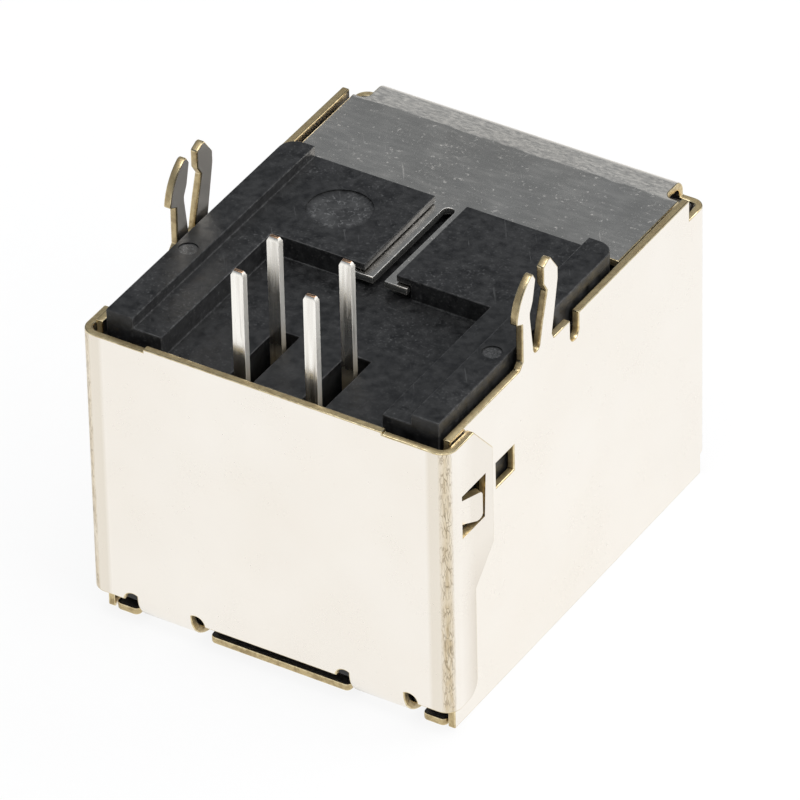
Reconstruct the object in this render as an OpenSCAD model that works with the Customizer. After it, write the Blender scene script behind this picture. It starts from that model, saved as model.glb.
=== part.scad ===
// Right-angle board connector with a square plug opening, lying on the top of its shield.
// The tails and legs point up, the plug opening faces +Y and the rear cover faces -Y.
// All lengths are millimetres. Distances named "from the rear" start at the rear cover's outer face.

/* [Shield] */
// Thickness of the plated sheet
sheet = 0.25; // [0.2:0.01:0.3]
// Distance between the mid-planes of the side panels, which is the spacing of the leg holes in the board
leg_spacing = 12.04; // [11.9:0.02:12.4]
// Depth from the rear cover's outer face to the front face
depth = 15.75; // [15.4:0.05:17]
// Height of the side panels' long edge above the top plate's outer face
panel_h = 10.7; // [10.6:0.02:10.9]
// Height of the board-side plate's outer face above the top plate's outer face
plate_h = 10.56; // [10.5:0.01:10.6]
// Inner radius of the bends around the front face
bend_r = 0.19; // [0.1:0.01:0.2]
// Gap left where two edges of the folded sheet meet
seam = 0.05; // [0.03:0.01:0.08]
// Width of the open corner between two bends of the front face
relief_w = 0.42; // [0.36:0.02:0.5]
// Radius of the rounded end of the relief at each front corner of the board-side plate
relief_r = 0.26; // [0.2:0.02:0.3]
// Distance from the front bend back to the middle of that rounded end
relief_l = 0.42; // [0.32:0.02:0.5]
// Height of the lower end of the bends between the front face and the side panels
corner_low = 0.72; // [0.5:0.02:0.9]
// Height of the upper end of the bends between the front face and the side panels
corner_h = 9.97; // [9.7:0.01:10]
// Distance from the front face back to the step down in the side panels' long edge
corner_l = 1.12; // [0.9:0.02:1.3]
// Distance from the rear to the free rear edge of the top plate
plate_edge = 0.5; // [0.4:0.02:0.6]
// Radius of the corners of that edge
plate_corner_r = 0.18; // [0.1:0.02:0.24]
// Distance from the rear to the rear edge of the board-side plate
plate_rear = 6.64; // [6.5:0.02:6.7]
// Width of the tongue of the board-side plate that lies between the pads
plate_tongue_w = 2; // [1.7:0.05:2.2]
// Width of the slot along the middle of that tongue
plate_slot_w = 0.38; // [0.3:0.02:0.5]
// Length of the slot along the middle of that tongue
plate_slot_l = 4.05; // [3:0.05:5]

/* [Rear cover] */
// Inner radius of the bends between the cover and its flanges
cover_bend_r = 0.26; // [0.15:0.01:0.3]
// Inner radius of the bend that joins the cover to the top plate
hinge_r = 0.94; // [0.9:0.02:1.1]
// Height of the cover's lower free edge
cover_low = 0.93; // [0.8:0.01:1]
// Height of the cover's upper edge beside its middle
cover_h = 10.56; // [10.3:0.02:10.7]
// How far the middle of the upper edge stands higher
cover_rise = 0.1; // [0.05:0.01:0.2]
// Width of the higher middle of the upper edge
cover_rise_w = 8.3; // [7:0.1:9]
// Distance of the middle of each hinge strap from the middle plane
strap_x = 3.75; // [3.6:0.05:3.9]
// Width of each hinge strap
strap_w = 1.95; // [1.6:0.05:2]
// Radius of the round notches in the cover beside the hinge straps
hinge_notch_r = 0.3; // [0.2:0.02:0.36]
// Width of the gaps in the top plate beside the hinge straps
hinge_gap = 0.3; // [0.2:0.02:0.36]
// Gap between the cover's flanges and the side panels
flange_gap = 0.03; // [0.02:0.01:0.05]
// Distance from the rear to the flange's front edge at the latch
flange_l = 2.52; // [2.4:0.02:2.8]
// Distance from the rear to the flange's front edge at its narrow ends
flange_end_l = 1.46; // [1.3:0.02:1.6]
// Height where the flange starts to widen
flange_step = 4.8; // [4:0.1:5.2]
// Height of the flange's narrow top corner below the point where it starts to narrow
flange_taper = 1.2; // [1:0.05:1.5]
// Radius of the flange's lower front corner
flange_corner_r = 0.5; // [0.3:0.05:0.7]

/* [Latch] */
// Height of the middle of the latch window in the flange
latch_z = 7.9; // [7.6:0.05:8.2]
// Height of the latch window in the flange
latch_window_h = 1.55; // [1.4:0.05:1.7]
// Distance from the rear to the rear edge of the latch window
latch_window_y = 0.72; // [0.7:0.01:0.8]
// Length of the latch window along the flange
latch_window_l = 1.32; // [1.2:0.02:1.4]
// Height of the latch tongue at its root
latch_h = 0.81; // [0.7:0.01:0.9]
// How far the lower edge of the latch tongue drops towards its tip
latch_flare = 0.18; // [0:0.02:0.2]
// How far the middle of the latch tongue's root lies below the middle of its window
latch_drop = 0.11; // [0:0.01:0.16]
// Length of the latch tongue
latch_l = 1; // [0.9:0.02:1.1]
// Radius of the lower corner at the tip of the latch tongue
latch_corner_r = 0.22; // [0.1:0.02:0.3]
// Radius of the upper corner at the tip of the latch tongue
latch_upper_r = 0.12; // [0.06:0.02:0.2]
// Outward lean of the latch tongue in degrees
latch_angle = 20; // [14:1:20]
// Distance from the rear to the snap window in the side panel
snap_y = 3.14; // [3:0.02:3.3]
// Height of the lower edge of the snap window
snap_z = 7.33; // [7:0.05:7.6]
// Length of the snap window along the panel
snap_l = 1.03; // [0.8:0.02:1.2]
// Height of the snap window
snap_h = 0.9; // [0.7:0.02:1.1]

/* [Legs] */
// Distance from the rear to the middle of the legs
leg_y = 5.56; // [5.4:0.02:5.8]
// Width of a leg at its root
leg_w = 2; // [1.8:0.02:2.2]
// Length of a leg above the panel's edge
leg_l = 3; // [2.8:0.05:3.3]
// How far both necks are drawn in from the leg's root
neck_in = 0.2; // [0.15:0.01:0.25]
// How far the rear prong's barb stands out behind its neck
barb = 0.33; // [0.2:0.01:0.35]
// Height of the barb's foot above the panel's edge
barb_z = 1.54; // [1.4:0.02:1.65]
// Radius of the rear prong's curved outer edge
prong_arc_r = 1.7; // [1.4:0.05:2]
// Width of the rear prong's tip
prong_tip_w = 0.14; // [0.1:0.01:0.2]
// Distance of the rear prong's tip behind the middle of the leg
prong_tip_y = 0.23; // [0.18:0.01:0.3]
// Length of the slanted edge at the rear prong's tip
prong_taper = 0.25; // [0.15:0.01:0.35]
// Width of the slit between the prongs at its foot
slit_w = 0.36; // [0.3:0.02:0.42]
// Width of the slit at the barb
slit_wide = 0.7; // [0.6:0.02:0.8]
// Height of the foot of the slit above the panel's edge
slit_foot = 0.3; // [0.2:0.02:0.4]
// Height of the front prong's waist above the panel's edge
waist_z = 1; // [0.8:0.05:1.2]
// Height of the foot of the front prong's head above the panel's edge
head_z = 1.92; // [1.8:0.02:2]
// Width of the front prong's head
head_w = 0.84; // [0.75:0.01:0.9]
// How far the head stands into the slit beyond its foot
head_step = 0.2; // [0.1:0.01:0.25]
// Height over which the head widens into the slit
head_slope = 0.33; // [0.2:0.01:0.4]
// How far the head stands ahead of the leg's root
head_lean = 0.27; // [0.2:0.01:0.35]
// Length of the slanted edges at the head's tip
head_taper = 0.6; // [0.45:0.05:0.7]
// Height of the head's upright front edge
head_face = 0.4; // [0.3:0.02:0.5]
// Width of the flat at the head's tip
head_tip_w = 0.14; // [0.1:0.01:0.2]
// Height of the bevel at the slit side of the head's tip
head_bevel = 0.14; // [0.1:0.02:0.3]
// Distance from the middle of the leg to the middle of the relief notch
notch_y = 2.2; // [2.1:0.05:2.5]
// Width of the relief notch in the panel's edge
notch_w = 0.5; // [0.4:0.02:0.6]
// Depth of the relief notch
notch_d = 0.85; // [0.6:0.05:1]

/* [Plug opening] */
// Width of the plug opening
opening_w = 8.45; // [8.35:0.01:8.55]
// Height of the plug opening
opening_h = 7.78; // [7.7:0.01:7.85]
// Size of the two cut corners of the plug opening
opening_corner = 1.43; // [1.2:0.01:1.6]
// Height of the middle of the plug opening
opening_z = 5.2; // [5.1:0.02:5.25]
// Depth of the plug cavity behind the front face
cavity_depth = 10; // [9.6:0.1:10.4]
// Gap between the shield's opening and the wall of the plug cavity behind it
cavity_gap = 0.05; // [0.02:0.01:0.1]
// Width of each grounding finger
finger_w = 1.5; // [1.2:0.05:1.7]
// Distance of each grounding finger from the middle of the opening
finger_z = 1.6; // [1.4:0.05:1.7]
// Length of each grounding finger behind its bend
finger_l = 3.6; // [3:0.1:4]
// Inward lean of each grounding finger in degrees
finger_angle = 4; // [2:0.5:5]

/* [Housing] */
// Height of the rails' tops, which is where the board sits
seat_h = 11.2; // [11.1:0.02:11.4]
// Height of the ledges and pads
ledge_h = 10.84; // [10.78:0.01:10.9]
// Height of the floor between the ledges
floor_h = 10.1; // [10:0.01:10.12]
// Gap between the housing and the sheet around it
housing_gap = 0.04; // [0.02:0.01:0.06]
// Gap between a rail and the side panel
rail_gap = 0.12; // [0.08:0.01:0.2]
// Width of a rail
rail_w = 0.95; // [0.8:0.05:1.1]
// Radius of the outer front corner of a rail
rail_corner_r = 0.55; // [0.2:0.05:0.6]
// Width of a ledge
ledge_w = 1; // [0.8:0.05:1.2]
// Distance from the rear to the housing's rear face
housing_rear = 0.56; // [0.5:0.01:0.6]
// Distance from the rear to the front ends of the rails and pads
rail_front = 10.88; // [10.7:0.02:11.2]
// Distance from the rear to the rear edge of the pads
pad_rear = 6.76; // [6.74:0.02:7]
// Gap between the two pads
pad_gap = 1.1; // [0.9:0.05:1.3]
// Depth of the moulding marks
mark_d = 0.04; // [0.02:0.01:0.06]
// Radius of the moulding mark on a rail
rail_mark_r = 0.32; // [0.2:0.02:0.4]
// Distance from the rear to the moulding mark on a rail
rail_mark_y = 4.4; // [2:0.1:5]
// Radius of the moulding mark on one of the pads
pad_mark_r = 1.05; // [0.7:0.05:1.3]
// Width of the slots that the tails stand in
tail_slot_w = 0.8; // [0.7:0.02:0.9]
// Depth of the tail slots below the floor
tail_slot_d = 2.4; // [1.5:0.1:2.6]
// Distance from the front row of tails to the front end of the tail slots
tail_slot_front = 0.58; // [0.4:0.02:0.7]
// Width of the tongue that the plug goes over
tongue_w = 5.6; // [5.5:0.02:5.7]
// Height of the tongue
tongue_h = 3.18; // [3.13:0.01:3.23]
// Distance from the front face back to the tongue's tip
tongue_set_back = 1.1; // [0.8:0.05:1.4]

/* [Contacts] */
// Distance between the two columns of contacts
column_spacing = 2.5; // [2.4:0.02:2.6]
// Distance between the two rows of tails
row_spacing = 2; // [1.9:0.02:2.1]
// Distance from the front row of tails to the middle of the legs
row_to_leg = 2.64; // [2.6:0.02:2.8]
// Thickness of the contact strip
strip_t = 0.25; // [0.2:0.01:0.3]
// Width of a contact on the tongue
contact_w = 1; // [0.9:0.02:1.1]
// Width of a tail
tail_w = 0.43; // [0.38:0.01:0.5]
// Height of the tails' tips
tail_tip = 14; // [13.6:0.05:14.4]
// Length of the bevel at a tail's tip
tip_bevel = 0.16; // [0.1:0.01:0.2]
// How far each side of a tail is drawn in by its bevel
tip_inset = 0.07; // [0.04:0.01:0.09]
// Inner radius of the bend from a contact into its tail
tail_bend_r = 0.25; // [0.2:0.01:0.3]
// How far the contacts stand proud of the tongue
contact_proud = 0.04; // [0.02:0.01:0.06]
// Distance from the tongue's tip back to the end of a contact
contact_set_back = 0.5; // [0.3:0.05:0.8]
// Gap between a contact and the housing around it
contact_gap = 0.02; // [0.01:0.01:0.03]

/* [Hidden] */
$fn = 48;
EPS = 0.01;
FAR = 40;
METAL = "gainsboro";
PLASTIC = [0.13, 0.13, 0.14];
TIN = "silver";
panel_out = (leg_spacing + sheet) / 2;
panel_in = (leg_spacing - sheet) / 2;
lap = sheet / 2;
bend_out = bend_r + sheet;
cover_bend_out = cover_bend_r + sheet;
hinge_out = hinge_r + sheet;
flange_in = panel_out + flange_gap;
flange_out = flange_in + sheet;
rail_out = panel_in - rail_gap;
rail_in = rail_out - rail_w;
ledge_in = rail_in - ledge_w;
wall_end = depth - bend_out;
face_half = panel_out - bend_out;
ear_half = face_half - relief_w;
row_front = leg_y - row_to_leg;
row_rear = row_front - row_spacing;
cavity_back = depth - cavity_depth;
tongue_tip = depth - tongue_set_back;
column = column_spacing / 2;
level_top = opening_z - tongue_h / 2 - contact_proud;
level_board = opening_z + tongue_h / 2 + contact_proud - strip_t;

// The middle of an arc of radius r that runs clockwise from point a to point b
function arc_middle(a, b, r) =
    let (d = b - a, reach = sqrt(r * r - d * d / 4))
        (a + b) / 2 + reach / norm(d) * [d[1], -d[0]];

// Puts a piece that was drawn from the rear into the part's own frame
module from_rear() translate([0, -depth / 2, 0]) children();

// A block given by its two corners
module block(low, high) translate(low) cube(high - low);

// Stands an outline drawn as [distance from the rear, height] up across the width
module across(x, width) translate([x, 0, 0]) rotate([90, 0, 90]) linear_extrude(width) children();

// A quarter ring of sheet about the Z axis, from the +X side round to the +Y side
module quarter_bend(inner, length) rotate_extrude(angle = 90) translate([inner, 0]) square([sheet, length]);

// The same quarter ring with a straight lap at each end, inside the flat piece that the bend runs into
module lapped_bend(inner, length) {
    outer = inner + sheet;
    linear_extrude(length)
        difference() {
            translate([-lap, -lap])
                square(outer + lap);
            difference() {
                square(outer);
                circle(r = outer);
            }
            circle(r = inner);
            translate([-FAR, -FAR])
                square([FAR + inner, FAR]);
            translate([-FAR, -FAR])
                square([FAR, FAR + inner]);
        }
}

// The plug opening seen from the front, grown by a gap, with its cut corners towards the top plate
module opening_outline(gap) {
    w = opening_w / 2 + gap;
    h = opening_h / 2 + gap;
    translate([0, opening_z])
        polygon([
            [-w, h], [-w, opening_corner - h], [opening_corner - w, -h],
            [w - opening_corner, -h], [w, opening_corner - h], [w, h]
        ]);
}

// Runs a front outline drawn as [x, height] back from one distance to another
module along(from, to) translate([0, to, 0]) rotate([90, 0, 0]) linear_extrude(to - from) children();

// The head of a leg's rear prong, with a curved outer edge from the tip down to the barb
module rear_head() {
    tip = [-prong_tip_y - prong_tip_w / 2, leg_l];
    foot = [neck_in - leg_w / 2 - barb, barb_z + barb / 2];
    belly = [-slit_wide / 2 + barb / 2, barb_z + barb];
    intersection() {
        polygon([
            [neck_in - leg_w / 2, barb_z], foot, [foot[0], leg_l], tip + [prong_tip_w, 0],
            [tip[0] + 2 * prong_tip_w, leg_l - prong_taper], belly + [0, barb / 2],
            [-slit_wide / 2, barb_z + barb / 2], [-slit_wide / 2, barb_z - EPS]
        ]);
        translate(arc_middle(foot, tip, prong_arc_r))
            circle(r = prong_arc_r, $fn = 180);
    }
}

// One leg drawn from the middle of its root: a barbed rear prong, a slit and a front prong with a wide head
module leg_outline() {
    half = leg_w / 2;
    neck = half - neck_in;
    head_front = half + head_lean;
    head_rear = head_front - head_w;
    head_mid = head_front - head_w / 2;
    rear_head();
    difference() {
        polygon([
            [-half, -sheet], [-half, 0], [-neck, neck_in], [-neck, barb_z], [-slit_wide / 2, barb_z],
            [-slit_w / 2, slit_foot], [slit_w / 2, slit_foot], [slit_wide / 2, waist_z],
            [head_rear + head_step, head_z], [head_rear, head_z + head_slope],
            [head_rear, leg_l - head_bevel], [head_mid - head_tip_w, leg_l], [head_mid, leg_l],
            [head_front, leg_l - head_taper], [head_front, leg_l - head_taper - head_face],
            [neck + neck_in / 2, neck_in], [half, 0], [half, -sheet]
        ]);
        translate([0, slit_foot])
            circle(d = slit_w);
    }
}

// A side panel's outline with its leg, relief notch, latch hole and snap window
module panel_outline() {
    latch_hole = [latch_window_l + 2 * seam, latch_window_h];
    difference() {
        union() {
            translate([cover_bend_out + seam, 0])
                square([wall_end - cover_bend_out - seam, panel_h]);
            translate([leg_y, panel_h])
                leg_outline();
        }
        translate([depth - corner_l, corner_h])
            square([corner_l, panel_h]);
        translate([leg_y + notch_y - notch_w / 2, panel_h - notch_d + notch_w / 2])
            square([notch_w, notch_d]);
        translate([leg_y + notch_y, panel_h - notch_d + notch_w / 2])
            circle(d = notch_w);
        translate([latch_window_y + sheet, latch_z - latch_hole[1] / 2])
            square(latch_hole);
        translate([snap_y, snap_z])
            square([snap_l, snap_h]);
    }
}

// The latch tongue: cut free on three sides, round at its tip and leant outwards about its rear root
module latch_tongue() {
    high = latch_h / 2;
    low = -high - latch_flare;
    translate([panel_in, latch_window_y + sheet - EPS, latch_z - latch_drop])
        rotate([0, 0, -latch_angle])
            across(0, sheet) {
                polygon([
                    [0, -high], [latch_l - latch_corner_r, low], [latch_l, low + latch_corner_r],
                    [latch_l, high - latch_upper_r], [latch_l - latch_upper_r, high], [0, high]
                ]);
                translate([latch_l - latch_corner_r, low + latch_corner_r])
                    circle(r = latch_corner_r);
                translate([latch_l - latch_upper_r, high - latch_upper_r])
                    circle(r = latch_upper_r);
            }
}

// A side panel with its latch tongue and its bend into the front face
module side_wall() {
    across(panel_in, sheet)
        panel_outline();
    latch_tongue();
    translate([face_half, wall_end, corner_low])
        lapped_bend(bend_r, corner_h - corner_low);
}

// The front face: flat, with the plug opening and room at the opening's sides for the grounding fingers
module front_face() {
    difference() {
        along(depth - sheet, depth)
            difference() {
                union() {
                    translate([-face_half, corner_low])
                        square([2 * face_half, corner_h - corner_low]);
                    translate([-ear_half, bend_out])
                        square([2 * ear_half, plate_h - 2 * bend_out]);
                }
                opening_outline(0);
            }
        for (level = [-finger_z, finger_z])
            block(
                [-opening_w / 2 - bend_out, depth - FAR, opening_z + level - finger_w / 2],
                [opening_w / 2 + bend_out, depth + FAR, opening_z + level + finger_w / 2]
            );
    }
}

// A grounding finger: bent back at the side of the opening, then leant in towards the plug
module finger() {
    translate([opening_w / 2 + bend_out, wall_end, opening_z - finger_w / 2]) {
        rotate([0, 0, 90])
            quarter_bend(bend_r, finger_w);
        translate([-bend_out, 0, 0])
            rotate([0, 0, 180 - finger_angle])
                translate([-sheet, -EPS, 0])
                    cube([sheet, finger_l, finger_w]);
    }
}

// A stretch of the top plate's rear edge between two places across the width, with rounded corners
module edge_stretch(from, to) {
    r = plate_corner_r;
    translate([from, plate_edge + r])
        square([to - from, hinge_out - plate_edge - r + EPS]);
    translate([from + r, plate_edge])
        square([to - from - 2 * r, r + EPS]);
    for (x = [from + r, to - r])
        translate([x, plate_edge + r])
            circle(r = r);
}

// The top plate, which the connector lies on, with its bend into the front face
module top_plate() {
    edge = panel_in - seam;
    opening = strap_w / 2 + hinge_gap;
    linear_extrude(sheet) {
        translate([-edge, hinge_out])
            square([2 * edge, wall_end - hinge_out]);
        edge_stretch(-edge, -strap_x - opening);
        edge_stretch(opening - strap_x, strap_x - opening);
        edge_stretch(strap_x + opening, edge);
    }
    translate([-ear_half, wall_end, bend_out])
        rotate([0, 90, 0])
            lapped_bend(bend_r, 2 * ear_half);
}

// The board-side plate: wide at the front, with a slotted tongue that reaches back between the pads
module board_plate() {
    shoulder = rail_front + rail_gap;
    low = plate_h - sheet;
    difference() {
        union() {
            block([-rail_out, shoulder, low], [rail_out, wall_end, plate_h]);
            block([-plate_tongue_w / 2, plate_rear, low], [plate_tongue_w / 2, shoulder + EPS, plate_h]);
        }
        block([-plate_slot_w / 2, 0, 0], [plate_slot_w / 2, plate_rear + plate_slot_l, FAR]);
        translate([0, plate_rear + plate_slot_l, 0])
            cylinder(d = plate_slot_w, h = FAR);
        for (side = [0, 1])
            mirror([side, 0, 0])
                translate([ear_half, wall_end - relief_l, 0]) {
                    cube(FAR);
                    translate([relief_r, -relief_r, 0])
                        cube(FAR);
                    translate([relief_r, 0, 0])
                        cylinder(r = relief_r, h = FAR);
                }
    }
    translate([ear_half, wall_end, plate_h - bend_out])
        rotate([0, -90, 0])
            lapped_bend(bend_r, 2 * ear_half);
}

// One flange of the rear cover, drawn as [distance from the rear, height]
module flange_outline() {
    start = cover_bend_out;
    widen = flange_l - flange_end_l;
    corner = [flange_end_l, cover_low] + flange_corner_r * [-1, 1];
    difference() {
        polygon([
            [start, cover_low], [flange_end_l, cover_low], [flange_end_l, flange_step],
            [flange_l, flange_step + widen], [flange_l, cover_h - flange_taper],
            [flange_end_l, cover_h], [start, cover_h]
        ]);
        difference() {
            translate(corner - [0, 2 * flange_corner_r])
                square(2 * flange_corner_r);
            translate(corner)
                circle(r = flange_corner_r);
        }
        translate([latch_window_y, latch_z - latch_window_h / 2])
            square([latch_window_l, latch_window_h]);
    }
}

// The rear cover: a flat face on two hinge straps, with a flange wrapped round each side panel.
// The notches beside a strap end where its bend begins.
module rear_cover() {
    flat = flange_out - cover_bend_out;
    notch_mid = hinge_out - hinge_notch_r * sin(60);
    difference() {
        block([-flat, 0, cover_low], [flat, sheet, cover_h]);
        along(-FAR, FAR)
            for (side = [-1, 1])
                translate([side * strap_x, 0]) {
                    translate([-strap_w / 2, 0])
                        square([strap_w, hinge_out]);
                    for (end = [-1, 1])
                        translate([end * (strap_w + hinge_notch_r) / 2, notch_mid])
                            circle(r = hinge_notch_r);
                }
    }
    block([-cover_rise_w / 2, 0, cover_h - EPS], [cover_rise_w / 2, sheet, cover_h + cover_rise]);
    for (side = [0, 1])
        mirror([side, 0, 0]) {
            across(flange_in, sheet)
                flange_outline();
            translate([flat, cover_bend_out, cover_low])
                rotate([0, 0, -90])
                    lapped_bend(cover_bend_r, cover_h - cover_low);
            translate([strap_x + strap_w / 2, hinge_out, hinge_out])
                rotate([0, -90, 0])
                    rotate([0, 0, 180])
                        lapped_bend(hinge_r, strap_w);
        }
}

module shield() {
    color(METAL)
        from_rear() {
            front_face();
            top_plate();
            board_plate();
            rear_cover();
            for (side = [0, 1])
                mirror([side, 0, 0]) {
                    side_wall();
                    for (level = [-finger_z, finger_z])
                        translate([0, 0, level])
                            finger();
                }
        }
}

// A contact's strip, grown by a gap: along the tongue, round a bend and up into its tail
module strip(row, level, gap) {
    low = level - gap;
    high = level + strip_t + gap;
    start = row + strip_t / 2 + tail_bend_r;
    neck = cavity_back - contact_w;
    inner = tail_bend_r - gap;
    outer = tail_bend_r + strip_t + gap;
    block(
        [-contact_w / 2 - gap, neck - gap, low],
        [contact_w / 2 + gap, tongue_tip - contact_set_back + gap, high]
    );
    block([-tail_w / 2 - gap, start - EPS, low], [tail_w / 2 + gap, neck + EPS, high]);
    translate([tail_w / 2 + gap, start, level + strip_t + tail_bend_r])
        rotate([0, -90, 0])
            rotate([0, 0, 180])
                rotate_extrude(angle = 90)
                    translate([inner, 0])
                        square([outer - inner, tail_w + 2 * gap]);
    block(
        [-tail_w / 2 - gap, row - strip_t / 2 - gap, level + strip_t + tail_bend_r - EPS],
        [tail_w / 2 + gap, row + strip_t / 2 + gap, tail_tip]
    );
}

// The outline of a tail's bevelled tip over the given width, reaching far below it
module tip_outline(width) {
    half = width / 2;
    polygon([
        [-FAR, -FAR], [FAR, -FAR], [FAR, tail_tip - tip_bevel], [half, tail_tip - tip_bevel],
        [half - tip_inset, tail_tip], [tip_inset - half, tail_tip], [-half, tail_tip - tip_bevel],
        [-FAR, tail_tip - tip_bevel]
    ]);
}

// A contact: its strip with the bevelled tip
module contact(side, row, level) {
    color(TIN)
        from_rear()
            translate([side * column, 0, 0])
                intersection() {
                    strip(row, level, 0);
                    along(-FAR, FAR)
                        tip_outline(tail_w);
                    translate([0, row, 0])
                        across(-FAR, 2 * FAR)
                            tip_outline(strip_t);
                }
}

module contact_vbus() contact(1, row_rear, level_top);
module contact_data_minus() contact(-1, row_rear, level_top);
module contact_data_plus() contact(-1, row_front, level_board);
module contact_ground() contact(1, row_front, level_board);

// The housing's raised edges on one side: rail, ledge and a pad that reaches over the plate's tongue
module raised_edges() {
    foot = floor_h - EPS;
    difference() {
        block([rail_in - EPS, housing_rear, foot], [rail_out, rail_front, seat_h]);
        translate([rail_out - rail_corner_r, rail_front - rail_corner_r, 0])
            difference() {
                cube([FAR, FAR, FAR]);
                cylinder(r = rail_corner_r, h = FAR);
            }
        translate([rail_in + rail_w / 2, rail_mark_y, seat_h - mark_d])
            cylinder(r = rail_mark_r, h = FAR);
    }
    block([ledge_in, housing_rear, foot], [rail_in, pad_rear + EPS, ledge_h]);
    block([pad_gap / 2, pad_rear, plate_h + housing_gap], [rail_in, rail_front, ledge_h]);
    block([plate_tongue_w / 2 + housing_gap, pad_rear, foot], [rail_in, rail_front, ledge_h]);
}

// The block that fills the shield, rounded inside the hinge, with the plug cavity and the slots for the tails
module main_block() {
    wall = panel_in - housing_gap;
    slot_front = row_front + tail_slot_front;
    difference() {
        block([-wall, housing_rear, sheet + housing_gap], [wall, wall_end - housing_gap, floor_h]);
        across(-FAR, 2 * FAR)
            difference() {
                square(hinge_out);
                translate([hinge_out, hinge_out])
                    circle(r = hinge_r - housing_gap);
            }
        along(cavity_back, depth + FAR)
            opening_outline(cavity_gap);
        for (level = [-finger_z, finger_z])
            translate([0, 0, opening_z + level])
                block(
                    [-opening_w / 2 - bend_out, wall_end - finger_l - sheet, -finger_w / 2 - cavity_gap],
                    [opening_w / 2 + bend_out, depth, finger_w / 2 + cavity_gap]
                );
        for (side = [-1, 1])
            translate([side * column, 0, 0])
                block(
                    [-tail_slot_w / 2, 0, floor_h - tail_slot_d],
                    [tail_slot_w / 2, slot_front, FAR]
                );
    }
}

// The tongue in the middle of the plug cavity
module tongue() {
    block(
        [-tongue_w / 2, cavity_back - EPS, opening_z - tongue_h / 2],
        [tongue_w / 2, tongue_tip, opening_z + tongue_h / 2]
    );
}

module housing() {
    color(PLASTIC)
        from_rear()
            difference() {
                union() {
                    main_block();
                    tongue();
                    for (side = [0, 1])
                        mirror([side, 0, 0])
                            raised_edges();
                }
                translate([-(pad_gap / 2 + rail_in) / 2, (pad_rear + rail_front) / 2, ledge_h - mark_d])
                    cylinder(r = pad_mark_r, h = FAR);
                for (side = [-1, 1])
                    translate([side * column, 0, 0]) {
                        strip(row_rear, level_top, contact_gap);
                        strip(row_front, level_board, contact_gap);
                    }
            }
}

shield();
housing();
contact_vbus();
contact_data_minus();
contact_data_plus();
contact_ground();
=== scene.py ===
# %% [markdown]
# # A board connector, seen from its rear and its board side
#
# The connector has a folded metal shield, a black moulded housing and four thin contacts whose tails
# stand up. The exact solids are loaded first as a fixed frame. Everything that follows dresses those
# solids: each one is copied, its edges are softened and it gets a finish made of nodes.

# %% Load the solids
import itertools
import math

import bmesh
import bpy
from mathutils import Matrix, Vector
from mathutils.bvhtree import BVHTree


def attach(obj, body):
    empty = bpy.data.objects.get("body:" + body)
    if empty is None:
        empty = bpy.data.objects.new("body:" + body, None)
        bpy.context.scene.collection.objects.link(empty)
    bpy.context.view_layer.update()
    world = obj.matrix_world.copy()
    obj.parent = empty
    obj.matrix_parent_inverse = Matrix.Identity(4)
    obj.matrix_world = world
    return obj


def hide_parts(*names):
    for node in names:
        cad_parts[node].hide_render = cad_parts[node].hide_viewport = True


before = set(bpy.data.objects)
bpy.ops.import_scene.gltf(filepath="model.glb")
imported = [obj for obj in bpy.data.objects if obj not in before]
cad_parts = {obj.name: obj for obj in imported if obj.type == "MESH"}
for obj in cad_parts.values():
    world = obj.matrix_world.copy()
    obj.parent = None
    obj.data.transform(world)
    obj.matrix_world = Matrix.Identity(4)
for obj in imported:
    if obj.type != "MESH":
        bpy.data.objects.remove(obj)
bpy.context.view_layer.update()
MM = 0.001
print("solids:", sorted(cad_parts))

# %% [markdown]
# ## The camera
#
# The photograph was taken with a long lens from behind, from the right and from above, and the camera
# leans a little to one side. A camera could be placed by eye, but edges that run away from the lens
# show each small error. So its turn, height and lean are written as angles, and the camera's axes are
# worked out from them.

# %% Work out the camera's axes
TURN = math.radians(31.976)
HEIGHT = math.radians(36.354)
LEAN = math.radians(-1.279)

level_share = math.cos(HEIGHT)
back = Vector((math.sin(TURN) * level_share, -math.cos(TURN) * level_share, math.sin(HEIGHT)))
level_right = Vector((math.cos(TURN), math.sin(TURN), 0))
level_up = back.cross(level_right)
right = level_right * math.cos(LEAN) + level_up * math.sin(LEAN)
up = back.cross(right)
print("camera looks from", [round(value, 3) for value in back])

# %% [markdown]
# A camera object's own axes point to its right, up and back. Three angles could turn it, but their order
# matters and is easily mistaken. The three axes are put side by side in a matrix instead, and the camera
# is moved back from the point it aims at.

# %% Place the camera
DISTANCE = 289.8 * MM
AIM = Vector((-0.185, 0.125, 5.136)) * MM
SENSOR_WIDTH = 36
FOCAL_LENGTH = 429.5
NEAREST = 0.01

camera_data = bpy.data.cameras.new("long_lens")
camera_data.sensor_width = SENSOR_WIDTH
camera_data.lens = FOCAL_LENGTH
camera_data.clip_start = NEAREST
camera = bpy.data.objects.new("long_lens", camera_data)
bpy.context.scene.collection.objects.link(camera)
axes = Matrix((right, up, back)).transposed().to_4x4()
camera.matrix_world = Matrix.Translation(AIM + back * DISTANCE) @ axes
bpy.context.scene.camera = camera
print("camera at", [round(value / MM, 1) for value in camera.location], "mm")

# %% [markdown]
# ## Softened copies of the solids
#
# A solid from the CAD program has perfectly sharp edges, and no made thing has those. A sharp edge
# never catches the light, so it looks drawn. The pieces could be modelled again by hand, but a copy keeps
# every size exact. So each solid is copied, and the copy, which stands in for it, is softened. The
# triangles of a solid are loose, and merging their corners comes first.

# %% A helper that copies a solid and merges it
MERGE = 0.002 * MM


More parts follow.
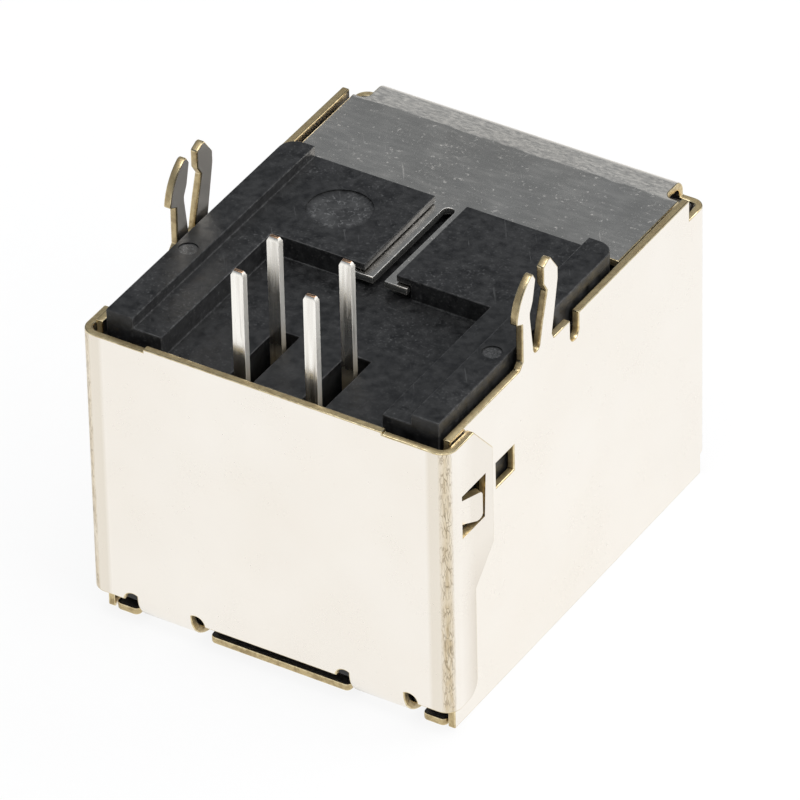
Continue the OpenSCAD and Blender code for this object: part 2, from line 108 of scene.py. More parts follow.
def merged_copy(node_name, piece_name):
    bpy.ops.object.select_all(action="DESELECT")
    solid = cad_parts[node_name]
    piece = solid.copy()
    piece.data = solid.data.copy()
    piece.name = piece_name
    piece.data.name = piece_name
    bpy.context.scene.collection.objects.link(piece)
    bpy.context.view_layer.objects.active = piece
    piece.select_set(True)
    bpy.ops.mesh.customdata_custom_splitnormals_clear()
    bpy.ops.object.mode_set(mode="EDIT")
    bpy.ops.mesh.select_all(action="SELECT")
    bpy.ops.mesh.remove_doubles(threshold=MERGE)
    bpy.ops.object.mode_set(mode="OBJECT")
    piece.data.materials.clear()
    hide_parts(node_name)
    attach(piece, "root")
    print(piece_name, "has", len(piece.data.vertices), "corners after the merge")
    return piece


print("corners closer than", MERGE / MM, "mm are merged")

# %% [markdown]
# A very small bevel goes on the sharp edges. It folds over where a face beside the edge is too narrow,
# and it grows a spike where two sharp edges leave a corner almost side by side. Blender can clamp a bevel
# that has no room, but it then narrows all of them. So each edge is measured instead: how wide the faces
# beside it are, and whether a corner is crowded.

# %% Helpers that measure the room at an edge and at a corner
SHARP = math.radians(38)
SIDE_BY_SIDE = math.radians(25)


def face_room(edge, face):
    start, end = (corner.co for corner in edge.verts)
    along = (end - start).normalized()
    offsets = [corner.co - start for corner in face.verts]
    return max((offset - along * offset.dot(along)).length for offset in offsets)


def is_crowded(corner, sharp):
    ways = [edge.other_vert(corner).co - corner.co for edge in corner.link_edges if edge in sharp]
    pairs = itertools.combinations(ways, 2)
    return any(first.angle(second) < SIDE_BY_SIDE for first, second in pairs)


print("an edge is sharp above", round(math.degrees(SHARP)), "degrees")

# %% [markdown]
# The edges that have room get a bevel weight of one, and the others keep none and stay sharp. The two
# limits are counted in widths of the bevel, so they hold for the thick pieces and for the thin ones.

# %% A helper that marks the edges that a bevel has room for
ROOM_WIDTHS = 2.2
APART_WIDTHS = 25


def mark_edges(piece, width):
    mesh = bmesh.new()
    mesh.from_mesh(piece.data)
    weights = mesh.edges.layers.float.new("bevel_weight_edge")
    sharp = {edge for edge in mesh.edges if edge.calc_face_angle(0) > SHARP}
    crowded = [corner.co for corner in mesh.verts if is_crowded(corner, sharp)]
    marked = 0
    for edge in sharp:
        room = min(face_room(edge, face) for face in edge.link_faces)
        reaches = ((end.co - place).length for end in edge.verts for place in crowded)
        apart = min(reaches, default=math.inf)
        if room > ROOM_WIDTHS * width and apart > APART_WIDTHS * width:
            edge[weights] = 1
            marked += 1
    mesh.to_mesh(piece.data)
    mesh.free()
    print(piece.name, "has", len(sharp), "sharp edges, of which", marked, "get a bevel")


print("a bevel needs faces wider than", ROOM_WIDTHS, "times its width")

# %% [markdown]
# The triangles of one flat face are joined before the bevel, because an edge that crosses the face would
# be in its way. After the bevel, the normals are weighted by the size of the faces. Without that, the
# shading of a bevel would spread over the flat face beside it.

# %% A helper that joins flat faces and bevels the marked edges
FLAT = math.radians(0.5)
BEVEL_STEPS = 2


def soften(piece, width, edge_slot=-1):
    bpy.ops.object.select_all(action="DESELECT")
    bpy.context.view_layer.objects.active = piece
    piece.select_set(True)
    bpy.ops.object.mode_set(mode="EDIT")
    bpy.ops.mesh.select_all(action="SELECT")
    bpy.ops.mesh.dissolve_limited(angle_limit=FLAT, delimit={"MATERIAL"})
    bpy.ops.object.mode_set(mode="OBJECT")
    mark_edges(piece, width)
    bevel = piece.modifiers.new("soft_edges", "BEVEL")
    bevel.width = width
    bevel.segments = BEVEL_STEPS
    bevel.material = edge_slot
    bevel.limit_method = "WEIGHT"
    bevel.use_clamp_overlap = False
    bevel.loop_slide = False
    bpy.ops.object.modifier_apply(modifier=bevel.name)
    bpy.ops.object.shade_smooth_by_angle(angle=SHARP)
    weighted = piece.modifiers.new("level_faces", "WEIGHTED_NORMAL")
    weighted.keep_sharp = True
    bpy.ops.object.modifier_apply(modifier=weighted.name)
    print(piece.name, "has", len(piece.data.polygons), "faces")


print("each bevel has", BEVEL_STEPS, "steps")

# %% [markdown]
# ## Helpers for finishes
#
# A finish is a tree of nodes. Each node could be added and linked by hand, but the same few kinds come
# back in every finish. So small helpers add them. Whatever a helper is given, a link from another node
# or a plain number, it feeds to the right socket.

# %% Helpers that add nodes
def feed(tree, value, socket):
    if isinstance(value, bpy.types.NodeSocket):
        tree.links.new(value, socket)
    else:
        socket.default_value = value


def new_node(tree, kind, **sockets):
    node = tree.nodes.new(kind)
    for name, value in sockets.items():
        feed(tree, value, node.inputs[name.replace("_", " ")])
    return node


def calculate(tree, operation, *values, kind="ShaderNodeMath", output="Value"):
    node = tree.nodes.new(kind)
    node.operation = operation
    for value, socket in zip(values, node.inputs):
        feed(tree, value, socket)
    return node.outputs[output]


def calculate_vector(tree, operation, *values, output="Vector"):
    return calculate(tree, operation, *values, kind="ShaderNodeVectorMath", output=output)


def new_material(name, metallic=0):
    material = bpy.data.materials.new(name)
    material.use_nodes = True
    tree = material.node_tree
    surface = tree.nodes["Principled BSDF"]
    surface.inputs["Metallic"].default_value = metallic
    return material, tree, surface


print("helpers that add nodes are ready")

# %% [markdown]
# A mask is a value between nothing and one that says where something shows. Most masks here are cut out
# of noise, or fade in along an axis of the piece. Object coordinates are in metres and stay with the
# piece, so a place on it can be written as a plain size.

# %% Helpers that make masks
def split_axes(tree, vector):
    return new_node(tree, "ShaderNodeSeparateXYZ", Vector=vector).outputs


def stretched(tree, coordinates, stretch, turn=0.0):
    mapping = tree.nodes.new("ShaderNodeMapping")
    mapping.vector_type = "TEXTURE"
    feed(tree, coordinates, mapping.inputs["Vector"])
    feed(tree, (0, 0, turn), mapping.inputs["Rotation"])
    feed(tree, [1 / share for share in stretch], mapping.inputs["Scale"])
    return mapping.outputs["Vector"]


def fade(tree, value, start, end, low=0, high=1):
    ramp = new_node(tree, "ShaderNodeMapRange", Value=value, From_Min=start, From_Max=end)
    feed(tree, low, ramp.inputs["To Min"])
    feed(tree, high, ramp.inputs["To Max"])
    return ramp.outputs["Result"]


def noise(tree, coordinates, scale, detail=4, output="Fac"):
    texture = new_node(tree, "ShaderNodeTexNoise", Vector=coordinates, Scale=scale, Detail=detail)
    return texture.outputs[output]


def noise_mask(tree, coordinates, scale, low, high, detail=4):
    return fade(tree, noise(tree, coordinates, scale, detail), low, high)


print("helpers that make masks are ready")

# %% [markdown]
# Masks are multiplied to narrow them down, and each mask then lays one colour or one roughness over what
# is there already, as coats of paint are laid over each other.

# %% Helpers that put masks to use
def product(tree, first, *others):
    for other in others:
        first = calculate(tree, "MULTIPLY", first, other)
    return first


def blend_values(tree, mask, base, top):
    mix = tree.nodes.new("ShaderNodeMix")
    feed(tree, mask, mix.inputs["Factor"])
    feed(tree, base, mix.inputs["A"])
    feed(tree, top, mix.inputs["B"])
    return mix.outputs["Result"]


def blend_colors(tree, mask, base, top):
    mix = tree.nodes.new("ShaderNodeMix")
    mix.data_type = "RGBA"
    feed(tree, mask, mix.inputs["Factor"])
    for value, socket in ((base, mix.inputs["A"]), (top, mix.inputs["B"])):
        feed(tree, (*value, 1) if isinstance(value, tuple) else value, socket)
    return mix.outputs["Result"]


def bump(tree, height, strength, depth):
    return new_node(tree, "ShaderNodeBump", Height=height, Strength=strength, Distance=depth)


print("helpers that use masks are ready")

# %% [markdown]
# ## Scuffs
#
# Handling leaves small scuffs on plate and on plastic alike. They could be painted, but a painted
# picture would have to fit each piece. A node group makes them from noise instead: fine noise gives
# the specks, coarse noise decides where they gather, and noise drawn out to one side gives scratches.

# %% Build the scuff group
SCRATCH_TURN = math.radians(35)
SCRATCH_SHARE = 0.6


def build_scuffs():
    group = bpy.data.node_groups.new("handling_scuffs", "ShaderNodeTree")
    group.interface.new_socket("Vector", in_out="INPUT", socket_type="NodeSocketVector")
    group.interface.new_socket("Mask", in_out="OUTPUT", socket_type="NodeSocketFloat")
    place = group.nodes.new("NodeGroupInput").outputs["Vector"]
    mask = group.nodes.new("NodeGroupOutput").inputs["Mask"]
    specks = noise_mask(group, place, scale=11000, low=0.56, high=0.78)
    gather = noise_mask(group, place, scale=520, low=0.42, high=0.66)
    drawn_out = stretched(group, place, (1, 0.06, 1), SCRATCH_TURN)
    scratches = noise_mask(group, drawn_out, scale=9000, low=0.68, high=0.76)
    gathered = product(group, specks, gather)
    faint = product(group, scratches, SCRATCH_SHARE)
    feed(group, calculate(group, "MAXIMUM", gathered, faint), mask)
    return group


scuffs = build_scuffs()


def scuff_mask(tree, place, strength):
    node = tree.nodes.new("ShaderNodeGroup")
    node.node_tree = scuffs
    feed(tree, place, node.inputs["Vector"])
    return product(tree, node.outputs["Mask"], strength)


print("group:", scuffs.name)

# %% [markdown]
# ## The shield
#
# The shield is one brass sheet, plated with nickel while it was still flat and then stamped and folded.
# The plating covers the two wide faces of the sheet, so wherever the punch cut, the brass shows as a
# thin golden line. A ray sent into the metal from each face tells them apart: behind a plated face the
# sheet ends after its own thickness, and behind a cut face it goes on.

# %% Copy the shield and find its cut edges
SHEET = 0.25 * MM
SHEET_SLACK = 1.07
RAY_INSET = 0.001 * MM


def cut_faces(piece, thickness):
    mesh = piece.data
    corners = [corner.co for corner in mesh.vertices]
    tree = BVHTree.FromPolygons(corners, [face.vertices for face in mesh.polygons])
    found = []
    for face in mesh.polygons:
        start = face.center - face.normal * RAY_INSET
        _place, _normal, _index, distance = tree.ray_cast(start, -face.normal)
        if distance is not None and distance > SHEET_SLACK * thickness:
            found.append(face.index)
    return found


shield = merged_copy("shield", "shield_sheet")
cut = cut_faces(shield, SHEET)
print("shield:", len(cut), "of", len(shield.data.polygons), "triangles lie on cut edges")

# %% [markdown]
# ### Nickel plate
#
# Bright nickel is a warm white metal, and most of its look comes from what it mirrors. So the material
# needs only a metal colour and a roughness. Scuffs are not painted: a scuff is simply rougher, so it
# turns out pale where the plate mirrors a dark room and grey where it mirrors the white table.

# %% Start the nickel finish
NICKEL = (0.94, 0.896, 0.828)
WARM_NICKEL = (0.915, 0.862, 0.782)
CLEAR_PLATE = 0.14
HAZY_PLATE = 0.24
SCUFFED_PLATE = 0.5

nickel, tree, surface = new_material("bright_nickel_plate", metallic=1)
coordinates = new_node(tree, "ShaderNodeTexCoord").outputs
place, normal = coordinates["Object"], coordinates["Normal"]
x, y, z = split_axes(tree, place)
cloud = noise_mask(tree, place, scale=260, low=0.3, high=0.75)
tint = blend_colors(tree, cloud, NICKEL, WARM_NICKEL)
haze = noise_mask(tree, place, scale=700, low=0.3, high=0.7)
gloss = fade(tree, haze, 0, 1, CLEAR_PLATE, HAZY_PLATE)
gloss = blend_values(tree, scuff_mask(tree, place, 0.8), gloss, SCUFFED_PLATE)
print("plate: roughness from", CLEAR_PLATE, "to", SCUFFED_PLATE)

# %% [markdown]
# The tool that folded the front edge pressed on a strip of the board-side plate and left it dull. The
# strip ends in a ragged line, so the distance along the plate is shaken by noise before it is cut off.

# %% Dull the strip along the front bend
STRIP_START = 6.68 * MM
STRIP_RAG = 0.25 * MM
PLATE_Z = 10.2 * MM
PRESSED_PLATE = 0.46

ragged = noise(tree, place, scale=1300)
shaken = calculate(tree, "MULTIPLY_ADD", ragged, STRIP_RAG, y)
strip = fade(tree, shaken, STRIP_START + 0.1 * MM, STRIP_START + 0.16 * MM)
upper = fade(tree, z, PLATE_Z, PLATE_Z + 0.1 * MM)
across = stretched(tree, place, (0.3, 1, 1))
rubs = noise_mask(tree, across, scale=14000, low=0.36, high=0.66, detail=6)
pressed = product(tree, strip, upper, fade(tree, rubs, 0, 1, low=0.45))
gloss = blend_values(tree, pressed, gloss, PRESSED_PLATE)
print("strip: starts", round(STRIP_START / MM, 2), "mm ahead of the middle")

# %% [markdown]
# The rest of that plate slid over the bench. Its wipe marks are faint and run across the width, so
# noise is drawn out that way, and only faces that look up get it. A few specks stand out more.

# %% Wipe the board-side plate
WIPED_PLATE = 0.42

tilt = split_axes(tree, normal)["Z"]
board_side = product(tree, upper, fade(tree, tilt, 0.6, 0.9))
across = stretched(tree, place, (0.25, 1, 1))
wipes = noise_mask(tree, across, scale=5200, low=0.42, high=0.76, detail=6)
specks = noise_mask(tree, place, scale=8000, low=0.62, high=0.72)
gloss = blend_values(tree, product(tree, board_side, wipes, 0.35), gloss, WIPED_PLATE)
gloss = blend_values(tree, product(tree, board_side, specks, 0.7), gloss, SCUFFED_PLATE)
print("wipe marks: above", round(PLATE_Z / MM, 1), "mm")

# %% [markdown]
# Only one side of the strip was polished before plating. The side that ends up inside the shell is
# satin, and it shows on the legs. A face lies inside when its normal points back towards the middle of
# the shell, so one dot product finds them all.

# %% Make the inner side satin
MIDDLE = (0, 0, 5.3 * MM)
SATIN_PLATE = 0.28

outward = calculate_vector(tree, "SUBTRACT", place, MIDDLE)
facing = calculate_vector(tree, "DOT_PRODUCT", outward, normal, output="Value")
inner = fade(tree, facing, 0, -1 * MM)
gloss = blend_values(tree, inner, gloss, SATIN_PLATE)
print("inner side: roughness", SATIN_PLATE)

# %% [markdown]
# Where the rear cover was folded round its two corners, the plating has crazed, and on the cover's side
# of each bend a band of painted shade makes the plate darker and warmer. Both could be painted on the
# bends' own faces, but they fade out past them. So the distance from each bend makes the mask, and
# because the shield is the same on both sides, the distance from the middle plane serves both bends at
# once.

# %% Find the two rear bends
BEND_X = 6.125 * MM
BEND_Y = -7.62 * MM
SHADE_X = 5.6 * MM
SHADE_Y = -7.6 * MM

sideways = calculate(tree, "ABSOLUTE", x)
seen_from_above = new_node(tree, "ShaderNodeCombineXYZ", X=sideways, Y=y).outputs["Vector"]
away = calculate_vector(tree, "DISTANCE", seen_from_above, (BEND_X, BEND_Y, 0), output="Value")
bend = fade(tree, away, 0.26 * MM, 0.14 * MM)
beside = fade(tree, sideways, SHADE_X, SHADE_X + 0.14 * MM, high=0.8)
bend_shade = product(tree, beside, fade(tree, y, SHADE_Y, SHADE_Y - 0.12 * MM))
print("bends: at", round(BEND_X / MM, 2), "mm to each side")

# %% [markdown]
# Crazing is a net of cracks, so it comes from the edges between the cells of a Voronoi texture. The cells
# are stretched along the height and shaken a little by noise, and a second noise breaks the net up. The
# plating between the cracks is worn to a dull gold, and less so in the upper half of the bends.

# %% Lay out the cracks
SHAKE = 0.16 * MM

shake = noise(tree, place, scale=2600, detail=2, output="Color")
wavy = calculate_vector(tree, "MULTIPLY_ADD", shake, (SHAKE, SHAKE, 0), place)
upright = stretched(tree, wavy, (1, 1, 0.14))
cells = new_node(tree, "ShaderNodeTexVoronoi", Scale=15000)
cells.feature = "DISTANCE_TO_EDGE"
feed(tree, upright, cells.inputs["Vector"])
net = fade(tree, cells.outputs["Distance"], 0.12, 0.03)
broken = noise_mask(tree, place, scale=3000, low=0.34, high=0.52)
cracks = product(tree, net, broken, bend)
worn = fade(tree, z, 8 * MM, 4 * MM, low=0.55)
patches = noise_mask(tree, upright, scale=9000, low=0.3, high=0.66, detail=3)
crazed = product(tree, patches, bend, worn)
print("cracks: shaken by up to", round(SHAKE / MM, 2), "mm")

# %% [markdown]
# Four coats follow from the widest to the narrowest: the painted shade beside the bend, the gold of the
# whole bend, its worn patches, and the dark cracks. The bend is also rougher than the plate beside it.

# %% Colour the bends
BEND_SHADE = (0.80, 0.735, 0.63)
GILT = (0.86, 0.73, 0.49)
CRAZED = (0.52, 0.385, 0.20)
CRACK = (0.20, 0.145, 0.08)
CRAZED_PLATE = 0.35

# The first coat is painted shade, a darker and warmer band on the cover beside each bend.
tint = blend_colors(tree, bend_shade, tint, BEND_SHADE)
tint = blend_colors(tree, product(tree, bend, 0.6), tint, GILT)
tint = blend_colors(tree, crazed, tint, CRAZED)
tint = blend_colors(tree, cracks, tint, CRACK)
gloss = blend_values(tree, bend, gloss, CRAZED_PLATE)
print("bends: roughness", CRAZED_PLATE)

# %% [markdown]
# A painted shade makes the two flanges a little darker and yellower than the side panels under them,
# most of all in their narrow lower half and along their front edge, where a shadow gap lies. The flanges
# are the only plate that lies this far out, so the distance from the middle plane finds them.

# %% Shade the flanges
FLANGE_X = 6.28 * MM
FLANGE_REAR = -7.3 * MM
FLANGE_EDGE = -6.42 * MM
FLANGE_SHADE = (0.74, 0.675, 0.585)

outer = fade(tree, sideways, FLANGE_X, FLANGE_X + 0.05 * MM)
ahead = fade(tree, y, FLANGE_REAR, FLANGE_REAR + 0.4 * MM)
lower = fade(tree, z, 6.4 * MM, 4.4 * MM, low=0.3)
edge = fade(tree, y, FLANGE_EDGE - 0.5 * MM, FLANGE_EDGE, low=0.35)
# The flanges get painted shade, strongest in their lower half and along their front edge.
tint = blend_colors(tree, product(tree, outer, ahead, lower, edge), tint, FLANGE_SHADE)
feed(tree, tint, surface.inputs["Base Color"])
feed(tree, gloss, surface.inputs["Roughness"])
print("flanges: further out than", round(FLANGE_X / MM, 2), "mm")

# %% [markdown]
# A folded sheet is never quite flat. Two bumps are stacked: a broad one bends the reflections slightly,
# and a fine one sinks the cracks of the crazed bends.

# %% Bend the reflections
SWELL_DEPTH = 0.22 * MM
CRACK_DEPTH = -0.012 * MM

swell = noise(tree, place, scale=170, detail=1)
broad = bump(tree, swell, strength=1, depth=SWELL_DEPTH)
fine = bump(tree, cracks, strength=0.4, depth=CRACK_DEPTH)
feed(tree, broad.outputs["Normal"], fine.inputs["Normal"])
feed(tree, fine.outputs["Normal"], surface.inputs["Normal"])
print("finish:", nickel.name)

# %% [markdown]
# ### Cut brass
#
# A punched edge is partly smooth and partly torn, and it tarnishes, so its colour runs from gold to
# brown in patches. The legs and the upper edges were handled most and are browner. The tarnish is a thin
# dull skin, so the edge is not wholly metallic and stays soft and even where it looks into a dark gap.
# The slot in the board-side plate was punched before plating, so its wall is nickel, and its place on the
# plate finds it. On the slot's cut faces that nickel is painted dark grey, as painted shade from the dark
# slot they mirror.

# %% A helper that finds the slot
SLOT_X = 2.0 * MM
SLOT_REAR = -5.0 * MM
SLOT_Z = 10.0 * MM
SLOT_FADE = 0.1 * MM


def slot_mask(tree, x, y, z):
    beside = fade(tree, calculate(tree, "ABSOLUTE", x), SLOT_X, SLOT_X - SLOT_FADE)
    ahead = fade(tree, y, SLOT_REAR, SLOT_REAR + SLOT_FADE)
    above = fade(tree, z, SLOT_Z, SLOT_Z + SLOT_FADE)
    return product(tree, beside, ahead, above)


print("slot: within", round(SLOT_X / MM, 1), "mm of the middle plane")

# %% [markdown]
# The very corners of the edges are rubbed bright by handling. They are the bevel faces of the copy, so
# they get a finish of their own: the same brass, but paler, smoother and wholly metallic. One helper
# builds both finishes.

# %% Build the cut edge and its bright corners
GOLD = (0.66, 0.525, 0.285)
BROWN = (0.43, 0.325, 0.17)
BRIGHT = (0.78, 0.665, 0.43)
OLD_GOLD = (0.57, 0.45, 0.25)
TARNISH = (0.27, 0.215, 0.13)
SHADED_SLOT_PLATE = (0.17, 0.17, 0.16)
TORN_DEPTH = 0.008 * MM
TORN_ROUGHNESS = 0.12


def cut_brass(name, light, dark, slot_plate_and_shade, roughness, metallic):
    material, tree, surface = new_material(name, metallic)
    place = new_node(tree, "ShaderNodeTexCoord").outputs["Object"]
    x, y, z = split_axes(tree, place)
    torn = noise_mask(tree, place, scale=5000, low=0.4, high=0.66)
    handled = fade(tree, z, 10.2 * MM, 10.9 * MM, high=0.32)
    tint = blend_colors(tree, torn, light, dark)
    tint = blend_colors(tree, handled, tint, TARNISH)
    # In the slot, the cut faces take nickel darkened by painted shade, and the corners take plain nickel.
    tint = blend_colors(tree, slot_mask(tree, x, y, z), tint, slot_plate_and_shade)
    gloss = fade(tree, torn, 0, 1, roughness, roughness + TORN_ROUGHNESS)
    relief = bump(tree, torn, strength=0.4, depth=TORN_DEPTH)
    feed(tree, tint, surface.inputs["Base Color"])
    feed(tree, gloss, surface.inputs["Roughness"])
    feed(tree, relief.outputs["Normal"], surface.inputs["Normal"])
    print("finish:", name)
    return material


brass = cut_brass("cut_brass_edge", GOLD, BROWN, SHADED_SLOT_PLATE, roughness=0.3, metallic=0.75)
burnished = cut_brass("burnished_brass_corner", BRIGHT, OLD_GOLD, NICKEL, roughness=0.16, metallic=1)

# %% [markdown]
# The cut faces get the brass before the copy is softened, because joining the flat faces changes their
# numbers. The bevel then puts the bright finish on its own faces.

# %% Put the three finishes on the shield
SHIELD_BEVEL = 0.04 * MM
BRASS_SLOT = 1
BURNISHED_SLOT = 2

for finish in (nickel, brass, burnished):
    shield.data.materials.append(finish)
for index in cut:
    shield.data.polygons[index].material_index = BRASS_SLOT
soften(shield, SHIELD_BEVEL, edge_slot=BURNISHED_SLOT)

# %% [markdown]
# ## The housing
#
# The housing is moulded from black, glass-filled plastic. It is not quite black and not quite dull: the
# glass makes it faintly grey and grainy, and each corner has a paler line. Plain black would swallow its
# form, so patches of two blacks and two roughnesses carry the light. The paler corners are the same
# plastic with more dust on it, and their paleness is partly a painted highlight along the edges.

# %% A helper that builds the plastic, with more or less dust and painted highlight
BLACK = (0.004, 0.004, 0.0044)
GREY = (0.014, 0.014, 0.0145)
PALE_RUB_AND_GLINT = (0.14, 0.14, 0.14)
SMOOTH_PLASTIC = 0.33
DULL_PLASTIC = 0.54
PLASTIC_SHINE = 0.43
GRAIN_DEPTH = 0.012 * MM


def black_plastic(name, dust_and_glint):
    material, tree, surface = new_material(name)
    place = new_node(tree, "ShaderNodeTexCoord").outputs["Object"]
    patches = noise_mask(tree, place, scale=2800, low=0.34, high=0.68, detail=8)
    dust_and_glint_mask = noise_mask(tree, place, scale=5000, low=0.35, high=0.75)
    tint = blend_colors(tree, patches, BLACK, GREY)
    tint = blend_colors(tree, scuff_mask(tree, place, 0.6), tint, PALE_RUB_AND_GLINT)
    # The pale coat is dust on the faces; on the corners it is dust and a painted highlight.
    tint = blend_colors(tree, product(tree, dust_and_glint_mask, dust_and_glint), tint, PALE_RUB_AND_GLINT)
    gloss = fade(tree, patches, 0, 1, SMOOTH_PLASTIC, DULL_PLASTIC)
    relief = bump(tree, noise(tree, place, scale=6000), strength=0.5, depth=GRAIN_DEPTH)
    feed(tree, gloss, surface.inputs["Roughness"])
    feed(tree, PLASTIC_SHINE, surface.inputs["Specular IOR Level"])
    feed(tree, relief.outputs["Normal"], surface.inputs["Normal"])
    print("finish:", name)
    return material, tree, surface, place, tint


print("plastic: roughness from", SMOOTH_PLASTIC, "to", DULL_PLASTIC)

# %% [markdown]
# The round marks are left by the pins that push the moulding out of its mould. The pins rub, so each
# mark is hazy and full of short pale scratches. The scratches lie where a noise crosses its middle
# value, a second noise breaks them up, and the distance from the mark's middle keeps them inside.

# %% A helper that rubs a round mark
CROSSING = 0.5
LINE_WIDTH = 0.022
LINE_SHARE = 0.6
HAZE_SHARE = 0.35


def pin_rub(tree, place, middle, radius, strength):
    away = calculate_vector(tree, "DISTANCE", place, middle, output="Value")
    inside = fade(tree, away, radius, 0.75 * radius)
    winding = noise(tree, place, scale=4.5 / radius, detail=5)
    lines = calculate(tree, "COMPARE", winding, CROSSING, LINE_WIDTH)
    broken = noise_mask(tree, place, scale=6 / radius, low=0.44, high=0.6)
    haze = noise_mask(tree, place, scale=2 / radius, low=0.3, high=0.75, detail=8)
    scratches = product(tree, lines, broken)
    faint = product(tree, haze, HAZE_SHARE)
    rubbed = calculate(tree, "MULTIPLY_ADD", scratches, LINE_SHARE * strength, faint)
    return product(tree, rubbed, inside)


print("mark scratches: strength", LINE_SHARE, "over a haze of", HAZE_SHARE)

# %% [markdown]
# One large mark lies on the left pad, and each rail has a small one. The scratches of the small ones are
# stronger, because only a few fit there. The marks lie on flat faces, so only the finish of those has
# them, and the finish of the paler corners goes without.

# %% Build both plastics
PAD_MARK = ((-2.6875, 0.945, 10.84), 1.05, 1.0)
RAIL_MARKS = (((5.3, -3.475, 11.2), 0.32, 2.0), ((-5.3, -3.475, 11.2), 0.32, 2.0))
FACE_WEAR = 0.10
CORNER_DUST_AND_GLINT = 0.35

plastic, tree, surface, place, tint = black_plastic("black_moulded_plastic", FACE_WEAR)
for middle, radius, strength in (PAD_MARK, *RAIL_MARKS):
    rubbed = pin_rub(tree, place, Vector(middle) * MM, radius * MM, strength)
    tint = blend_colors(tree, rubbed, tint, PALE_RUB_AND_GLINT)
feed(tree, tint, surface.inputs["Base Color"])
# The corners' plastic carries more of the pale coat: dust and a painted highlight.
dusty_glinting_edge_plastic, tree, surface, place, tint = black_plastic("dusty_glinting_plastic_edge", CORNER_DUST_AND_GLINT)
feed(tree, tint, surface.inputs["Base Color"])

# %% [markdown]
# The housing has no cut edges to find, so its faces all take the first plastic, and the bevel puts the
# paler one, with its dust and painted highlight, on the corners.

# %% Dress the housing
HOUSING_BEVEL = 0.04 * MM
CORNER_SLOT = 1

housing = merged_copy("housing", "housing_moulding")
housing.data.materials.append(plastic)
housing.data.materials.append(dusty_glinting_edge_plastic)
soften(housing, HOUSING_BEVEL, edge_slot=CORNER_SLOT)

# %% [markdown]
# ## The contacts
#
# Each contact is a stamped strip with a tin skin. Rolling leaves streaks along the tail, so the noise is
# drawn out along the height. The tin is thin and golden near the root, and the cut tip shows the copper
# alloy inside, so the height on the piece also sets the colour.

# %% Colour the tin
TIN = (0.97, 0.945, 0.89)
GREY_TIN = (0.83, 0.80, 0.74)
DARK_TIN = (0.38, 0.35, 0.31)
THIN_TIN = (0.60, 0.48, 0.29)
COPPER = (0.50, 0.31, 0.19)
TIP = 14.0 * MM
ROOT = 9.2 * MM

tin, tree, surface = new_material("satin_tin_plate", metallic=1)
coordinates = new_node(tree, "ShaderNodeTexCoord").outputs
place, normal = coordinates["Object"], coordinates["Normal"]
z = split_axes(tree, place)["Z"]
rolled = stretched(tree, place, (1, 1, 0.05))
streaks = noise_mask(tree, rolled, scale=7000, low=0.42, high=0.7)
grooves = noise_mask(tree, rolled, scale=8000, low=0.66, high=0.74, detail=2)
tint = blend_colors(tree, streaks, TIN, GREY_TIN)
tint = blend_colors(tree, grooves, tint, DARK_TIN)
thin = fade(tree, z, ROOT + 1.8 * MM, ROOT + 0.4 * MM, high=0.8)
tint = blend_colors(tree, thin, tint, THIN_TIN)
bare = fade(tree, z, TIP - 0.03 * MM, TIP - 0.01 * MM)
tint = blend_colors(tree, bare, tint, COPPER)
feed(tree, tint, surface.inputs["Base Color"])
print("tin: from", round(ROOT / MM, 1), "to", round(TIP / MM, 1), "mm")

# %% [markdown]
# The wide faces are as smooth as the roller left them. The cut side on the right is torn and therefore
# rough, and the normal finds it. The stretch inside the housing is kept satin, because a smooth one would
# mirror the dark hole as black specks.

# %% Roughen the tin
SMOOTH_TIN = 0.2
STREAKED_TIN = 0.36
TORN_TIN = 0.6
SATIN_TIN = 0.55

gloss = fade(tree, streaks, 0, 1, SMOOTH_TIN, STREAKED_TIN)
cut_side = fade(tree, split_axes(tree, normal)["X"], 0.5, 0.9)
gloss = blend_values(tree, cut_side, gloss, TORN_TIN)
inside = fade(tree, z, 10.2 * MM, 9.8 * MM)
gloss = blend_values(tree, inside, gloss, SATIN_TIN)
feed(tree, gloss, surface.inputs["Roughness"])
print("finish:", tin.name)

# %% [markdown]
# The four contacts differ only in shape and place, and the solids hold that already. So one loop copies
# and dresses them all. The tails are narrow, so their bevel is half as wide as the shield's.

# %% Dress the four contacts
CONTACT_BEVEL = 0.02 * MM

for name in ("vbus", "data_minus", "data_plus", "ground"):
    contact = merged_copy(f"contact_{name}", f"contact_{name}_strip")
    contact.data.materials.append(tin)
    soften(contact, CONTACT_BEVEL)

# %% [markdown]
# ## The floor
#
# The connector lies on a white table that has no visible end. A white floor alone would render grey in
# the shade, so rays from the camera, and rays that bounce off gloss, see mostly a plain white glow. The
# rest of it is ordinary white paint, which keeps a faint shadow.

# %% Paint the table
WHITE = (0.93, 0.93, 0.93)
OFF_WHITE = (0.9, 0.9, 0.9)
PAINT_ROUGHNESS = 0.9
GLOW = 0.88

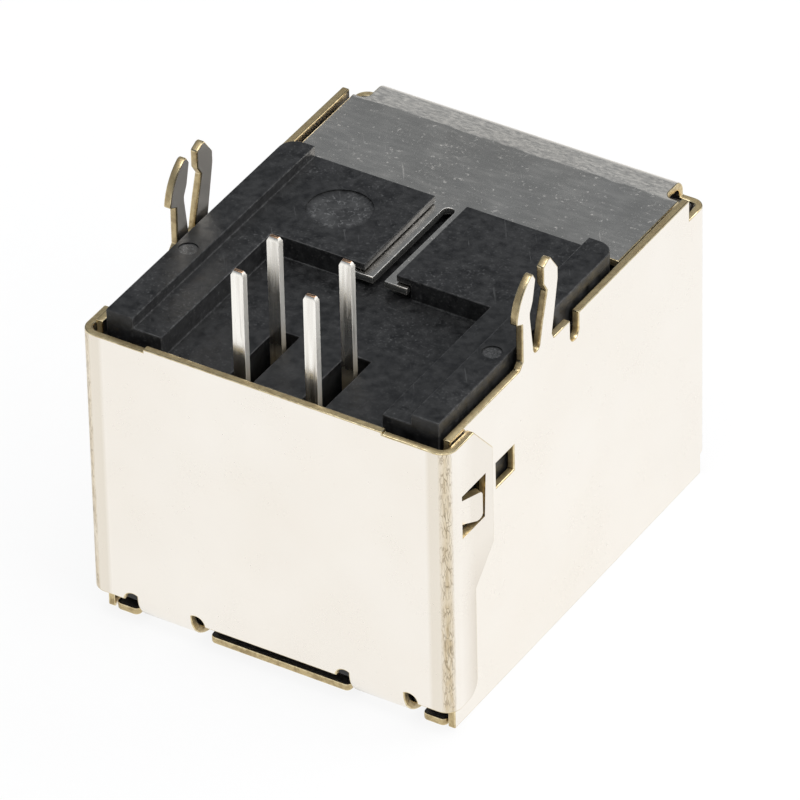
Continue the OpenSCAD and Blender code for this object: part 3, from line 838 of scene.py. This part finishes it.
paint, tree, surface = new_material("white_table_paint")
place = new_node(tree, "ShaderNodeTexCoord").outputs["Object"]
fibre = noise_mask(tree, place, scale=1500, low=0.3, high=0.7)
feed(tree, blend_colors(tree, fibre, WHITE, OFF_WHITE), surface.inputs["Base Color"])
feed(tree, PAINT_ROUGHNESS, surface.inputs["Roughness"])
feed(tree, 0, surface.inputs["Specular IOR Level"])
rays = tree.nodes.new("ShaderNodeLightPath").outputs
sees = rays["Is Camera Ray"]
for ray in ("Is Glossy Ray", "Is Transmission Ray"):
    sees = calculate(tree, "MAXIMUM", sees, rays[ray])
glow = new_node(tree, "ShaderNodeEmission", Color=(1, 1, 1, 1), Strength=1)
both = tree.nodes.new("ShaderNodeMixShader")
feed(tree, product(tree, sees, GLOW), both.inputs["Fac"])
feed(tree, surface.outputs["BSDF"], both.inputs[1])
feed(tree, glow.outputs["Emission"], both.inputs[2])
feed(tree, both.outputs["Shader"], tree.nodes["Material Output"].inputs["Surface"])
print("table: glow", GLOW)

# %% [markdown]
# The table itself is a plane, a hair below the connector so that the two never share a face. It belongs
# to the photograph and not to the connector.

# %% Lay the floor
FLOOR_SIZE = 1.6
FLOOR_GAP = 0.01 * MM

bpy.ops.object.select_all(action="DESELECT")
bpy.ops.mesh.primitive_plane_add(size=FLOOR_SIZE, location=(0, 0, -FLOOR_GAP))
floor = bpy.context.object
floor.name = "white_table"
floor.data.materials.append(paint)
print("floor:", floor.name)

# %% [markdown]
# ## The room and the lamps
#
# Metal shows the room it stands in. The board-side plate faces up, so it mirrors the dim room above
# the table's far end, while the upright walls mirror the white table. The room is a ramp on the height
# of each direction: light near the table, dim further up, and light again overhead, where the lamps are.

# %% Build the room
TABLE_LIGHT = (0.7, 0.7, 0.7, 1)
OVERHEAD_LIGHT = (0.9, 0.9, 0.9, 1)
ROOM_TINT = (0.935, 1, 1.08)
ROOM_LIGHT = {0.3: 0.36, 0.5: 0.175, 0.7: 0.157, 0.85: 0.6}

world = bpy.data.worlds.new("studio_room")
bpy.context.scene.world = world
world.use_nodes = True
tree = world.node_tree
direction = tree.nodes.new("ShaderNodeTexCoord").outputs["Generated"]
room = new_node(tree, "ShaderNodeValToRGB", Fac=split_axes(tree, direction)["Z"])
stops = room.color_ramp.elements
stops[0].color = TABLE_LIGHT
stops[1].color = OVERHEAD_LIGHT
for height, light in ROOM_LIGHT.items():
    stops.new(height).color = (*(share * light for share in ROOM_TINT), 1)
feed(tree, room.outputs["Color"], tree.nodes["Background"].inputs["Color"])
print("room:", world.name, "with", len(stops), "steps of light")

# %% [markdown]
# Three softboxes light the connector: one overhead, one to the right, and one beyond its far end, whose
# light the dulled strip catches. Spotlights would give hard shadows and small glints, so the lamps are
# large areas, each turned to the connector's middle.

# %% Hang the lamps
LAMP_AIM = Vector((0, 0, 5 * MM))


def hang_lamp(name, place, size, power):
    data = bpy.data.lights.new(name, "AREA")
    data.shape = "RECTANGLE"
    data.size, data.size_y = size
    data.energy = power
    lamp = bpy.data.objects.new(name, data)
    bpy.context.scene.collection.objects.link(lamp)
    turn = (LAMP_AIM - Vector(place)).to_track_quat("-Z", "Y")
    lamp.matrix_world = Matrix.Translation(place) @ turn.to_matrix().to_4x4()
    print("lamp:", name, power, "W")


hang_lamp("overhead_softbox", place=(0.02, -0.05, 0.42), size=(0.3, 0.3), power=0.75)
hang_lamp("right_softbox", place=(0.32, -0.06, 0.24), size=(0.22, 0.22), power=0.5)
hang_lamp("far_softbox", place=(0.215, 0.29, 0.215), size=(0.32, 0.32), power=0.9)

# %% [markdown]
# ## The view
#
# The standard view shows the colours as they were mixed, without a film look over them.

# %% Set the view
bpy.context.scene.view_settings.view_transform = "Standard"
